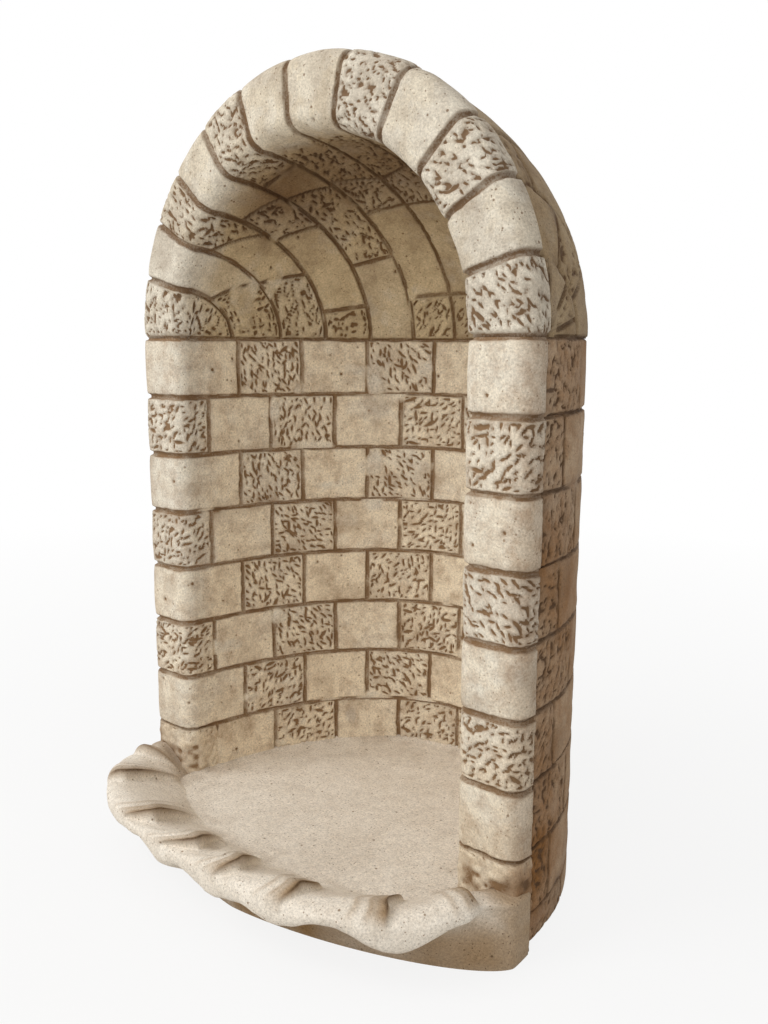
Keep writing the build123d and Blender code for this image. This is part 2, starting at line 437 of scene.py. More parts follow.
def make_piece(name, points, quads, triangles, skin, material, nodes):
    """A closed mesh object from arrays: corners and face starts go in with foreach_set, points that fall
    together are merged, and the faces are turned to point out of the closed shell."""
    mesh = bpy.data.meshes.new(name)
    mesh.vertices.add(len(points))
    mesh.vertices.foreach_set("co", points.astype(np.float32).ravel())
    corners = np.concatenate([quads.ravel(), triangles.ravel()]).astype(np.int32)
    sizes = np.concatenate([np.full(len(quads), 4), np.full(len(triangles), 3)])
    mesh.loops.add(len(corners))
    mesh.loops.foreach_set("vertex_index", corners)
    mesh.polygons.add(len(sizes))
    mesh.polygons.foreach_set("loop_start", np.concatenate([[0], np.cumsum(sizes)[:-1]]).astype(np.int32))
    mesh.update(calc_edges=True)
    layer = mesh.attributes.new("skin", "FLOAT_COLOR", "POINT")
    layer.data.foreach_set("color", skin.astype(np.float32).ravel())
    shell = bmesh.new()
    shell.from_mesh(mesh)
    bmesh.ops.remove_doubles(shell, verts=shell.verts, dist=weld_reach)
    bmesh.ops.dissolve_degenerate(shell, edges=shell.edges, dist=sliver_reach)
    bmesh.ops.recalc_face_normals(shell, faces=shell.faces)
    shell.to_mesh(mesh)
    open_edges = sum(1 for edge in shell.edges if len(edge.link_faces) != 2)
    shell.free()
    mesh.shade_smooth()
    mesh.set_sharp_from_angle(angle=sharp_angle)
    mesh.materials.append(material)
    piece = bpy.data.objects.new(name, mesh)
    bpy.context.scene.collection.objects.link(piece)
    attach(piece, "root")
    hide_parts(*nodes)
    print(name, len(mesh.polygons), "faces,", open_edges, "open edges")


def stack_skin(stain, tone, pale, weather):
    """The four numbers of each point side by side, spread to one shape and laid out row by row. On the lip
    the stain and weather numbers, and under the dome's crown the weather number, also carry painted shade.
    """
    return np.stack(np.broadcast_arrays(stain, tone, pale, weather), axis=-1).reshape(-1, 4)


print("points weld within", weld_reach / mm, "mm")

# %% [markdown]
# ## The cast stone
# The stone is a pale cement mix with a cream wash on the front, a warmer beige in the hollow and a brown
# patina in every joint and pit. All pieces share one node group, which mixes these colours by the four
# numbers on the points and adds clouds, grain and pin holes. The weathered brown and the dirt colour also
# paint shade where the numbers carry it: in the lip's pockets and creases and under the dome's crown. A
# picture texture would fix the pattern to one view, while noise on Object coordinates is the same from all
# sides.

# %% Sockets of the stone group


def paint(red, green, blue):
    """A colour in screen values from 0 to 255, as linear light: the usual power curve of each channel."""
    channels = np.array([red, green, blue]) / 255.0
    return (*np.where(channels <= 0.04045, channels / 12.92, ((channels + 0.055) / 1.055) ** 2.4), 1.0)


stone_group = bpy.data.node_groups.new("cast_stone", "ShaderNodeTree")
for socket in ("Hollow", "Wash", "Weathered and shade", "Dirt and shade"):
    stone_group.interface.new_socket(socket, in_out="INPUT", socket_type="NodeSocketColor")
for socket in ("Specks", "Blotches"):
    stone_group.interface.new_socket(socket, in_out="INPUT", socket_type="NodeSocketFloat")
stone_group.interface.new_socket("Color", in_out="OUTPUT", socket_type="NodeSocketColor")
for socket in ("Roughness", "Height"):
    stone_group.interface.new_socket(socket, in_out="OUTPUT", socket_type="NodeSocketFloat")

stone_in = stone_group.nodes.new("NodeGroupInput").outputs
stone_out = stone_group.nodes.new("NodeGroupOutput").inputs
place = stone_group.nodes.new("ShaderNodeTexCoord").outputs["Object"]
skin_read = stone_group.nodes.new("ShaderNodeAttribute")
skin_read.attribute_name = "skin"
skin_split = stone_group.nodes.new("ShaderNodeSeparateColor")
stone_group.links.new(skin_read.outputs["Color"], skin_split.inputs["Color"])
# The stain and weather numbers hold dirt and weathering, and on the lip and under the dome's crown painted
# shade too.
stain_and_shade_share, block_tone, pale_share = (skin_split.outputs[name] for name in ("Red", "Green", "Blue"))
weather_and_shade_share = skin_read.outputs["Alpha"]
print("stone group takes", [item.name for item in stone_group.interface.items_tree])

# %% Short words for its nodes


def feed(socket, value):
    """Give a socket a plain number or colour, or a link from another socket."""
    if isinstance(value, (int, float, tuple)):
        socket.default_value = value
    else:
        stone_group.links.new(value, socket)


def noise(scale, detail, roughness=0.55):
    """A noise texture on Object coordinates; a scale of 10 gives patches of about 100 mm."""
    node = stone_group.nodes.new("ShaderNodeTexNoise")
    for name, value in (("Vector", place), ("Scale", scale), ("Detail", detail), ("Roughness", roughness)):
        feed(node.inputs[name], value)
    return node.outputs["Fac"]


def ramp(value, low, high, out_low=0.0, out_high=1.0):
    """A value carried from one range to another in a straight line and held at the ends."""
    node = stone_group.nodes.new("ShaderNodeMapRange")
    for number, setting in enumerate((value, low, high, out_low, out_high)):
        feed(node.inputs[number], setting)
    return node.outputs["Result"]


def reckon(operation, first, second):
    """One sum on two values, where either may be a plain number; the result is held between 0 and 1."""
    node = stone_group.nodes.new("ShaderNodeMath")
    node.operation = operation
    node.use_clamp = True
    feed(node.inputs[0], first)
    feed(node.inputs[1], second)
    return node.outputs["Value"]


def mix_paint(share, first, second, mode="MIX"):
    """Two colours mixed by a share, where each is a socket or four numbers."""
    node = stone_group.nodes.new("ShaderNodeMix")
    node.data_type = "RGBA"
    node.blend_type = mode
    feed(node.inputs[0], share)
    feed(node.inputs[6], first)
    feed(node.inputs[7], second)
    return node.outputs[2]


def pin_holes(scale, keep, size):
    """Small dark holes: a cell of a Voronoi pattern whose random number is above a limit holds one dot."""
    node = stone_group.nodes.new("ShaderNodeTexVoronoi")
    feed(node.inputs["Vector"], place)
    feed(node.inputs["Scale"], scale)
    parts = stone_group.nodes.new("ShaderNodeSeparateColor")
    stone_group.links.new(node.outputs["Color"], parts.inputs["Color"])
    dot = ramp(node.outputs["Distance"], 0.55 * size, size, 1.0, 0.0)
    return reckon("MULTIPLY", dot, reckon("GREATER_THAN", parts.outputs["Red"], keep))


print("helpers:", noise.__name__, ramp.__name__, reckon.__name__, mix_paint.__name__, pin_holes.__name__)

# %% Mix the stone
# Where the weather number is high, joints and pits turn nearly black: real dark dirt on the weathered
# outside, painted shade in the lip's pockets and under the dome's crown.
soot_and_shade = (58, 38, 24)
clouds, smears, blotches = noise(6, 4), noise(22, 6, 0.65), noise(48, 6, 0.7)
grain, fine_grain = noise(420, 4, 0.75), noise(900, 2)
dots = reckon("MAXIMUM", pin_holes(90, 0.8, 0.17), pin_holes(230, 0.68, 0.22))
dots = reckon("MAXIMUM", dots, reckon("MULTIPLY", pin_holes(480, 0.72, 0.3), 0.6))
dots = reckon("MULTIPLY", dots, stone_in["Specks"])
pale = reckon("ADD", pale_share, ramp(smears, 0.45, 0.62, -0.15, 0.3))
pale = reckon("ADD", pale, ramp(block_tone, 0.0, 1.0, -0.2, 0.2))
stone = mix_paint(pale, stone_in["Hollow"], stone_in["Wash"])
worn_and_shaded = reckon("MULTIPLY", weather_and_shade_share, ramp(clouds, 0.25, 0.7, 0.55, 1.0))
stone = mix_paint(worn_and_shaded, stone, stone_in["Weathered and shade"])
stone = mix_paint(ramp(blotches, 0.44, 0.66, 0.0, stone_in["Blotches"]), stone, stone_in["Weathered and shade"])
shade = ramp(grain, 0.36, 0.64, 0.74, 1.13)
stone_tint = stone_group.nodes.new("ShaderNodeVectorMath")
stone_tint.operation = "SCALE"
feed(stone_tint.inputs[0], stone)
feed(stone_tint.inputs["Scale"], shade)
crisp = ramp(reckon("ADD", stain_and_shade_share, ramp(grain, 0.3, 0.7, -0.09, 0.09)), 0.42, 0.63, 0.0, 0.92)
dirt_and_shade = reckon("MAXIMUM", crisp, ramp(stain_and_shade_share, 0.08, 0.5, 0.0, 0.32))
dirt_and_shade = reckon("MAXIMUM", dirt_and_shade, reckon("MULTIPLY", dots, 0.8))
dark_dirt_and_shade = mix_paint(reckon("MULTIPLY", weather_and_shade_share, 0.75), stone_in["Dirt and shade"], paint(*soot_and_shade))
stone = mix_paint(dirt_and_shade, stone_tint.outputs["Vector"], dark_dirt_and_shade)
feed(stone_out["Color"], stone)
feed(stone_out["Roughness"], ramp(smears, 0.3, 0.7, 0.72, 0.9))
bumps = reckon("MULTIPLY", fine_grain, 0.35)
bumps = reckon("ADD", bumps, reckon("MULTIPLY", grain, 0.65))
bumps = reckon("SUBTRACT", bumps, reckon("MULTIPLY", crisp, 0.45))
feed(stone_out["Height"], reckon("SUBTRACT", bumps, reckon("MULTIPLY", dots, 0.6)))
print("stone group has", len(stone_group.nodes), "nodes")

# %% [markdown]
# ## Three mixes of the stone
# The courses got a cream wash in front, the vault is browner, partly stain and partly painted shade for its
# deep hollow, and the basin was cast from a sandier mix with a pink cast. One material with a mask could
# hold all this, but three small materials keep each part free to be recoloured. Each of them is the shared
# group with its own four colours.

# %% Materials
stone_gloss = 0.25
grain_strength, grain_height = 0.6, 0.8 * mm


def stone_material(name, hollow, wash, weathered_and_shade, dirt_and_shade, specks, blotched):
    """A Principled shader whose colour, roughness and bump come from the stone group."""
    material = bpy.data.materials.new(name)
    material.use_nodes = True
    tree = material.node_tree
    shader = tree.nodes["Principled BSDF"]
    shader.inputs["Specular IOR Level"].default_value = stone_gloss
    group = tree.nodes.new("ShaderNodeGroup")
    group.node_tree = stone_group
    for socket, value in zip(("Hollow", "Wash", "Weathered and shade", "Dirt and shade"), (hollow, wash, weathered_and_shade, dirt_and_shade)):
        group.inputs[socket].default_value = paint(*value)
    group.inputs["Specks"].default_value = specks
    group.inputs["Blotches"].default_value = blotched
    bump = tree.nodes.new("ShaderNodeBump")
    bump.inputs["Strength"].default_value = grain_strength
    bump.inputs["Distance"].default_value = grain_height
    tree.links.new(group.outputs["Color"], shader.inputs["Base Color"])
    tree.links.new(group.outputs["Roughness"], shader.inputs["Roughness"])
    tree.links.new(group.outputs["Height"], bump.inputs["Height"])
    tree.links.new(bump.outputs["Normal"], shader.inputs["Normal"])
    return material


course_stone = stone_material(
    "course_stone", hollow=(238, 222, 195), wash=(225, 216, 199), weathered_and_shade=(136, 93, 48),
    dirt_and_shade=(124, 91, 55), specks=0.8, blotched=0.42,
)
# The vault's hollow colour is darker than the courses': partly stain, partly painted shade for the deep
# hollow.
vault_stone = stone_material(
    "vault_stone", hollow=(208, 187, 150), wash=(222, 213, 196), weathered_and_shade=(106, 74, 39),
    dirt_and_shade=(106, 75, 42), specks=1.0, blotched=0.3,
)
basin_stone = stone_material(
    "basin_stone", hollow=(226, 215, 199), wash=(243, 234, 220), weathered_and_shade=(146, 114, 72),
    dirt_and_shade=(122, 94, 62), specks=1.0, blotched=0.14,
)
print("materials:", course_stone.name, vault_stone.name, basin_stone.name)

# %% [markdown]
# ## The plan of the walls
# Seen from above, one course of the niche is a horseshoe: up the side of a pier, round its rolled front
# edges, round the oval hollow and back out over the other pier. The outside is a wider oval. Both are
# walked by distance, so that blocks come out equally long whatever the curve does.

# %% Plan of a course
path_points, corner_points = 1200, 40
tangent_step = 0.2 * mm


def oval(half_x, depth, front, start, end):
    """Part of an upright half oval in plan: half width times cosine, front plus depth times sine."""
    turn = np.linspace(start, end, path_points)
    return np.stack([half_x * np.cos(turn), front + depth * np.sin(turn)], axis=1)


def roll_corner(middle_x, middle_y, start, end):
    """A quarter round of the edge radius about a middle point."""
    turn = np.linspace(start, end, corner_points)
    return np.stack([middle_x + edge_radius * np.cos(turn), middle_y + edge_radius * np.sin(turn)], axis=1)


jamb_turn = math.asin(edge_radius / hollow_depth)
jamb_x = opening * math.cos(jamb_turn)
right_wrap = np.concatenate(
    [
        [[half_width, frame_depth]],
        roll_corner(half_width - edge_radius, edge_radius, 0.0, -math.pi / 2),
        roll_corner(jamb_x + edge_radius, edge_radius, -math.pi / 2, -math.pi),
    ]
)
left_wrap = right_wrap[::-1] * (-1, 1)
hollow_line = oval(opening, hollow_depth, 0.0, jamb_turn, math.pi - jamb_turn)
inner_path = np.concatenate([right_wrap, hollow_line[1:-1], left_wrap])
outer_path = oval(wall_half, wall_back - frame_depth, frame_depth, 0.0, math.pi)


def run_length(path):
    """Distance along a path up to each of its points."""
    return np.concatenate([[0.0], np.cumsum(np.linalg.norm(np.diff(path, axis=0), axis=1))])


def walk(path, places, turn):
    """Points of a path at given distances, and the unit normals there: the tangent turned a quarter."""
    run = run_length(path)
    behind, spots, beyond = (
        np.stack([np.interp(places + step, run, path[:, k]) for k in (0, 1)], axis=1)
        for step in (-tangent_step, 0.0, tangent_step)
    )
    tangent = beyond - behind
    tangent /= np.linalg.norm(tangent, axis=1, keepdims=True)
    return spots, turn * np.stack([-tangent[:, 1], tangent[:, 0]], axis=1)


inner_length, outer_length = run_length(inner_path)[-1], run_length(outer_path)[-1]
wrap_length = run_length(right_wrap)[-1]
hollow_length = run_length(oval(opening, hollow_depth, 0.0, 0.0, math.pi))[-1]
jamb_start = wrap_length - run_length(oval(opening, hollow_depth, 0.0, 0.0, jamb_turn))[-1]
print("inner path", round(inner_length, 3), "m, outer path", round(outer_length, 3), "m")

# %% [markdown]
# ## Courses of blocks
# Eight courses and a low part of a ninth, at the foot, make the walls. In each course smooth and pecked
# blocks take turns, and the next course is shifted by half a block. Stones could be laid one by one, but the
# niche is one cast, so each course is one closed ring whose face is pressed in at the joints.

# %% The face of a course
course_height = 75.2 * mm
blocks_round = 9
block_length, outer_block = hollow_length / blocks_round, outer_length / blocks_round
inner_columns, inner_rows = 600, 44
outer_columns, outer_rows = 340, 30
odd_finish = np.array([0, 1, 0, 1, 0, 1, 0, 1, 0])
even_finish = np.array([1, 0, 1, 0, 1, 1, 0, 1, 0, 1])
end_groove = 1.5 * mm
edge_crowd = 6 * mm
upright_wander, upright_patch, column_patch = 1.6 * mm, 24 * mm, 60 * mm
bed_wander, bed_patch, whole_course = 2.0 * mm, 40 * mm, 50 * mm
plaster_top, plaster_fade, plaster_cover = 116 * mm, 32 * mm, 12 * mm
crumble_depth, crumble_length, crumble_height = 3.5 * mm, 9 * mm, 7 * mm
cream_loss, cream_top = 0.7, 450 * mm


def block_joints(first, length, total_blocks, odd):
    """Places of the upright joints: every whole block in odd courses and every half place in even ones."""
    count = np.arange(1, total_blocks) if odd else np.arange(total_blocks) + 0.5
    return first + count * length


def face_of_course(path, turn, joints, finish, rows, columns, low, high, number, frame_zone, weather):
    """One face of a course as a grid of height against distance along the plan. The gap to a joint is the
    smaller of the distances to the nearest upright joint and to the top or bottom edge, and the face is
    pressed in along the plan's normal by the depth of the skin there."""
    total = run_length(path)[-1]
    along = spaced(total, columns, joints, crowd=1.6, reach=edge_crowd)
    rise = low + spaced(high - low, rows, (0.0, high - low), crowd=1.2, reach=edge_crowd)
    spots, outward = walk(path, along, turn)
    p, q = np.meshgrid(along, rise)
    bend = upright_wander * (patches(q / upright_patch, np.round(p / column_patch), number) - 0.5)
    upright = np.min(np.abs((p + bend)[..., None] - joints), axis=-1)
    upright = np.minimum(upright, np.minimum(p, total - p) + end_groove)
    bed_bend = bed_wander * (patches(p / bed_patch, q * 0 + number, 5) - 0.5)
    bed_bend = bed_bend * ease((high - low) / whole_course)
    bed = np.minimum(q - low, high - q + np.abs(bed_bend))
    gap = np.minimum(upright, bed)
    block = np.searchsorted(joints, p)
    rough = finish[np.minimum(block, len(finish) - 1)].astype(float)
    lean = stroke_lean(block, number, 17)
    frame_share = frame_zone(p)
    plaster = ease((plaster_top - q) / plaster_fade) * frame_share
    rough = rough * (1 - plaster)
    gap = gap + plaster_cover * plaster
    depth, stain, filled = dress_skin(p, q, gap, rough, lean, frame_share, 100 + 13 * number)
    crumble = patches(p / crumble_length, q / crumble_height, number)
    depth += crumble_depth * plaster * (crumble - 0.4)
    stain = np.maximum(stain, plaster * (0.18 + 0.55 * crumble))
    points = np.empty((rows, columns, 3))
    points[..., 0] = spots[:, 0] - outward[:, 0] * depth
    points[..., 1] = spots[:, 1] - outward[:, 1] * depth
    points[..., 2] = rise[:, None]
    cream = 0.95 - cream_loss * ease((cream_top - q) / cream_top)
    pale = np.maximum(np.maximum(frame_share * cream, 0.2 * rough), 0.6 * filled)
    skin = stack_skin(stain, scatter(block, number, 3), pale, weather(p) * (1 + 0.9 * plaster))
    return points.reshape(-1, 3), skin, along / total, rise


print("blocks", round(block_length, 3), "m long inside and", round(outer_block, 3), "m outside")

# %% Build the courses
frame_inset, frame_fade = 10 * mm, 60 * mm
weather_start, weather_fade, pier_weather = 20 * mm, 40 * mm, 0.45


def frame_zone_inside(p):
    """1 over the piers, fading to 0 along the hollow behind them, from both ends of the path."""
    from_end = np.minimum(p, inner_length - p)
    return 1 - ease((from_end - wrap_length + frame_inset) / frame_fade)


def weather_inside(p):
    """A little weather on the sides of the piers, none in the hollow."""
    from_end = np.minimum(p, inner_length - p)
    return pier_weather * (1 - ease((from_end - weather_start) / weather_fade))


def build_course(number, low, high):
    """One ring: an inside face, an outside face, and strips over the top, the bottom and the two ends."""
    odd = number % 2 == 1
    inner_joints = block_joints(jamb_start, block_length, blocks_round, odd)
    outer_joints = block_joints(0.0, outer_block, blocks_round, odd)
    finish = odd_finish if odd else even_finish
    outer_finish = np.arange(blocks_round + 1) % 2 == 0
    fullness = (high - low) / course_height
    inner_count, outer_count = 2 + round(inner_rows * fullness), 2 + round(outer_rows * fullness)
    inside = face_of_course(
        inner_path, 1, inner_joints, finish, inner_count, inner_columns,
        low, high, number, frame_zone_inside, weather_inside,
    )
    outside = face_of_course(
        outer_path, -1, outer_joints, outer_finish, outer_count, outer_columns,
        low, high, number + 40, lambda p: 0 * p, lambda p: 0 * p + 1.0,
    )
    inner_ids, inner_quads = grid_quads(inner_count, inner_columns, 0)
    outer_ids, outer_quads = grid_quads(outer_count, outer_columns, inner_ids.size)
    wrap_share = wrap_length / inner_length
    sliver = 1e-4
    inner_at = np.interp(inside[2], [0, wrap_share, 1 - wrap_share, 1], [0, sliver, 1 - sliver, 1])
    outer_at = sliver + (1 - 2 * sliver) * outside[2]
    strips = [zip_strip(inner_ids[k], inner_at, outer_ids[k], outer_at) for k in (0, -1)]
    strips += [zip_strip(inner_ids[:, k], inside[3], outer_ids[:, k], outside[3]) for k in (0, -1)]
    make_piece(
        f"course_{number}", np.concatenate([inside[0], outside[0]]),
        np.concatenate([inner_quads, outer_quads]), np.concatenate(strips),
        np.concatenate([inside[1], outside[1]]), course_stone,
        ["left_pier", "right_pier", *stave_names],
    )


course_tops = np.arange(spring, 0.0, -course_height)
for number, high in enumerate(course_tops, start=1):
    build_course(number, max(high - course_height, 0.0), high)

# %% [markdown]
# ## The vault: arch and half dome in one skin
# Above the spring line the arch stones run on into the half dome without a break: each joint starts on the
# outside of the arch, rolls over its face and goes on inside as a line of equal width to the back. Two
# surfaces of turn would meet in a seam there. So one grid covers both: its columns are the joint lines, and
# its rows go from the arch's outer side over the front and down the hollow to the spring line.

# %% Joint lines of the vault
stone_turns = np.radians([14.9, 29.7, 44.1, 60.7, 77.4, 94.1, 109.6, 123.8, 137.5, 150.7, 164.7])
arch_finish = np.array([1, 0, 1, 0, 1, 0, 0, 1, 0, 1, 0, 1])
vault_columns, vault_rows = 372, 168
wrap_rows = 48
gore_offset = 0.5

# Cross joints of a gore: its angle round the hollow in degrees, and how much it slants across the gore.
left_cuts = {
    6: ((28, -0.3), (41, 0.0), (74, 0.0)),
    7: ((14, 0.0), (25, -0.3), (58, 0.0)),
    8: ((19, -0.3), (36, -0.3), (75.5, 0.0)),
    9: ((21, -1.2), (52, -0.5)),
    10: ((42, -0.9),),
    11: (),
}


def line_turn(stone_turn):
    """The vault line that meets the arch at a given angle: lines keep x, and the arch is a little narrower
    where its inner roll ends than the hollow's own half width."""
    return np.arccos(jamb_x * np.cos(stone_turn) / opening)


def cross_gaps(line, dip, reach):
    """Distance to the nearest cross joint and the count of cross joints passed, for each gore in turn; the
    right half mirrors the left one."""
    gore = np.searchsorted(line_turn(stone_turns), line)
    gap = np.full(line.shape, 1.0)
    passed = np.zeros(line.shape, dtype=int)
    edges = np.concatenate([[0.0], line_turn(stone_turns), [math.pi]])
    for left, cuts in left_cuts.items():
        for number, sign in ((left, 1), (len(stone_turns) - left, -1)):
            inside = gore == number
            middle = (edges[number] + edges[number + 1]) / 2
            for turn, slant in cuts:
                offset = dip - math.radians(turn) - slant * sign * (line - middle)
                gap = np.where(inside, np.minimum(gap, np.abs(offset) * reach), gap)
                passed += inside & (offset > 0)
    return gore, gap, passed


def travel(points, axis):
    """Distance run along rows or columns of a grid, counted from the first one."""
    steps = np.linalg.norm(np.diff(points, axis=axis), axis=-1)
    start = np.zeros_like(np.take(steps, [0], axis=axis))
    return np.concatenate([start, np.cumsum(steps, axis=axis)], axis=axis)


def from_gore_middle(across, turns):
    """Distance across a vault counted from the middle of each gore, so that tool marks do not shear where
    the gores draw together. Each gore is set half a metre further on, and gets other marks by that."""
    edges = np.concatenate([[0.0], stone_turns, [math.pi]])
    gore_of = np.searchsorted(stone_turns, turns)
    middles = np.searchsorted(turns, (edges[:-1] + edges[1:]) / 2)
    return across - across[:, middles[gore_of]] + gore_offset * gore_of


print("the vault has", len(stone_turns) + 1, "gores")

# %% Grid of the inside
wrap_dip = -0.2
arch_turn = spaced(math.pi, vault_columns, stone_turns, crowd=1.3, reach=0.028)
line = line_turn(arch_turn)

wrap_spots, _ = walk(right_wrap, np.linspace(0.0, wrap_length, wrap_rows), 1)
wrap_grid = np.stack(
    [
        wrap_spots[:, :1] * np.cos(arch_turn),
        np.broadcast_to(wrap_spots[:, 1:], (wrap_rows, vault_columns)),
        spring + wrap_spots[:, :1] * np.sin(arch_turn),
    ],
    axis=-1,
)
dip_start = np.arcsin(np.clip(edge_radius / (hollow_depth * np.sin(line)), 0, 1))
dip = dip_start + (math.pi / 2 - dip_start) * np.linspace(0, 1, vault_rows)[1:, None]
dome_grid = np.stack(
    [
        np.broadcast_to(opening * np.cos(line), dip.shape),
        hollow_depth * np.sin(line) * np.sin(dip),
        spring + opening * np.sin(line) * np.cos(dip),
    ],
    axis=-1,
)
vault_grid = np.concatenate([wrap_grid, dome_grid])
vault_dip = np.concatenate([np.full((wrap_rows, vault_columns), wrap_dip), dip])
vault_line = np.broadcast_to(line, vault_dip.shape)
down = travel(vault_grid, 0)
across = travel(vault_grid, 1)
line_width = np.gradient(across, axis=1) / np.gradient(line)
dip_width = np.gradient(down[wrap_rows:], axis=0) / np.maximum(np.gradient(dip, axis=0), 1e-6)
dip_width = np.concatenate([np.repeat(dip_width[:1], wrap_rows, axis=0), dip_width])
print("inside of the vault: grid of", vault_line.shape)

# %% Joints and marks of the inside
crown_gores = (4, 7)
pole_reach = 30 * mm
# Where the painted shade under the dome's crown lies: its middle and reach in dip.
crown_shade_dip, crown_shade_reach = 0.35, 0.4
arch_weather, arch_weather_reach = 0.3, 40 * mm

gore, cross_gap, passed = cross_gaps(vault_line, vault_dip, dip_width)
side_gap = np.min(np.abs(vault_line[..., None] - line_turn(stone_turns)), axis=-1) * line_width
spring_gap = np.where(vault_dip > 0, (math.pi / 2 - vault_dip) * dip_width, vault_grid[..., 2] - spring)
vault_gap = np.minimum(np.minimum(side_gap, cross_gap), spring_gap)
vault_rough = ((arch_finish[gore] + passed) % 2).astype(float)
across = from_gore_middle(across, arch_turn)
under_crown = (passed == 0) & (gore >= crown_gores[0]) & (gore <= crown_gores[1])
vault_rough = np.maximum(vault_rough, ease((vault_dip - 0.1) / 0.06) * under_crown)
vault_frame = 1 - ease((down - wrap_length + frame_inset) / frame_fade)
vault_lean = stroke_lean(gore, passed, 19)
vault_depth, vault_stain, vault_fill = dress_skin(
    across, down, vault_gap, vault_rough, vault_lean, vault_frame, 401
)
pole_fade = ease(line_width / pole_reach)
vault_normals = surface_normals(vault_grid, 1)
vault_points = vault_grid - vault_normals * (vault_depth * pole_fade)[..., None]
vault_pale = np.maximum(0.95 * vault_frame, 0.2 * vault_fill)
# Painted shade: the upper middle of the dome's hollow turns towards the weathered brown, where the vault
# keeps the light out.
crown_shade = np.exp(-(((vault_dip - crown_shade_dip) / crown_shade_reach) ** 2)) * ease((np.sin(vault_line) - 0.45) / 0.4)
arch_side = arch_weather * ease(1 - down / arch_weather_reach)
vault_weather_and_shade = np.maximum(arch_side, crown_shade * (1 - vault_frame))
vault_skin = stack_skin(vault_stain, scatter(gore, passed, 7), vault_pale, vault_weather_and_shade)
print("the inside sinks up to", round(float(vault_depth.max()) / mm, 1), "mm")

# %% [markdown]
# ## The back of the vault
# Nobody dresses the back of a niche with care: it gets the same joints and pecking, only weathered brown.
# The outside is a second half dome, a little larger and set back behind the arch. A strip closes the step
# at the arch, another the bed at the spring line, and a fan closes each foot of the arch.

# %% Outside of the vault
back_columns, back_rows = 190, 90
back_block = math.radians(30)
back_weather = 0.75
back_turn = spaced(math.pi, back_columns, stone_turns, crowd=1.0, reach=0.03)
back_dip = (math.pi / 2) * np.linspace(0, 1, back_rows)[:, None]
back_depth = wall_back - frame_depth
back_grid = np.stack(
    [
        np.broadcast_to(wall_half * np.cos(back_turn), (back_rows, back_columns)),
        frame_depth + back_depth * np.sin(back_turn) * np.sin(back_dip),
        spring + wall_half * np.sin(back_turn) * np.cos(back_dip),
    ],
    axis=-1,
)
back_line = np.broadcast_to(back_turn, (back_rows, back_columns))
back_down, back_across = travel(back_grid, 0), travel(back_grid, 1)
back_width = np.gradient(back_across, axis=1) / np.gradient(back_turn)
back_fall = np.gradient(back_down, axis=0) / np.gradient(back_dip[:, 0])[:, None]
back_gore = np.searchsorted(stone_turns, back_line)
back_shift = np.where(back_gore % 2 == 0, 0.5, 0.0)
back_cell = back_dip / back_block + back_shift
back_cross = np.abs(back_cell - np.maximum(np.round(back_cell), 1)) * back_block * back_fall
back_side = np.min(np.abs(back_line[..., None] - stone_turns), axis=-1) * back_width
back_bed = (math.pi / 2 - back_dip) * back_fall
back_gap = np.minimum(np.minimum(back_side, back_cross), back_bed)
back_rough = ((np.floor(back_cell) + back_gore) % 2 == 0).astype(float)
back_lean = stroke_lean(back_gore, np.floor(back_cell), 29)
back_across = from_gore_middle(back_across, back_turn)
back_sink, back_stain, _ = dress_skin(
    back_across, back_down, back_gap, back_rough, back_lean, 0 * back_gap, 503
)
back_normals = surface_normals(back_grid, -1)
back_points = back_grid - back_normals * (back_sink * ease(back_width / pole_reach))[..., None]
back_skin = stack_skin(back_stain, scatter(back_gore, np.floor(back_cell), 9), 0.0, back_weather)
print("outside of the vault: grid of", back_line.shape)

# %% Close the vault
vault_ids, vault_quads = grid_quads(*vault_line.shape, 0)
back_ids, back_quads = grid_quads(back_rows, back_columns, vault_line.size)
vault_strips = [zip_strip(vault_ids[k], arch_turn, back_ids[k], back_turn) for k in (0, -1)]
wrap_steps = np.arange(wrap_rows + 1)
for k in (0, -1):
    arch_foot = vault_ids[: wrap_rows + 1, k]
    vault_strips.append(zip_strip(arch_foot, wrap_steps, back_ids[:1, k], wrap_steps[:1]))
make_piece(
    "vault", np.concatenate([vault_points.reshape(-1, 3), back_points.reshape(-1, 3)]),
    np.concatenate([vault_quads, back_quads]), np.concatenate(vault_strips),
    np.concatenate([vault_skin, back_skin]), vault_stone, [*stone_names, *gore_names],
)

# %% [markdown]
# ## The floor
# The floor is trowelled by hand between the walls and the lip: nearly level, with a soft cove where it
# turns up against both. A flat plate would do for a drawing, but under low light the waves show. So the
# floor is a round grid, from its middle out to the wall and under the lip, with a plain underside.

# %% Build the floor
floor_rings, floor_spokes = 60, 240
under_wall = 3 * mm
cove_rise, wall_cove, lip_cove = 6 * mm, 7 * mm, 14 * mm
floor_front, cove_change = 92 * mm, 60 * mm
swell_height, swell_patch = 1.6 * mm, 45 * mm
trowel_height, trowel_patch = 0.5 * mm, 11 * mm
soil_reach, soil_patch = 10 * mm, 30 * mm
ochre_x, ochre_y, ochre_reach = 70 * mm, -10 * mm, 80 * mm
rub_reach, rub_patch, scuff_patch = 26 * mm, 26 * mm, 9 * mm
floor_tone_patch = 60 * mm
ring = np.linspace(0, 1, floor_rings)[:, None] ** 0.8
spoke = np.linspace(0, 2 * math.pi, floor_spokes)
edge_x = (opening + under_wall) * np.cos(spoke)
edge_y = np.where(spoke <= math.pi, (hollow_depth + under_wall), floor_front) * np.sin(spoke)
floor_x, floor_y = ring * edge_x, ring * edge_y
to_edge = (1 - ring) * np.hypot(edge_x, edge_y)
at_wall = ease(0.5 + floor_y / cove_change)
floor_z = floor_level + cove_rise * np.exp(-to_edge / (lip_cove + (wall_cove - lip_cove) * at_wall))
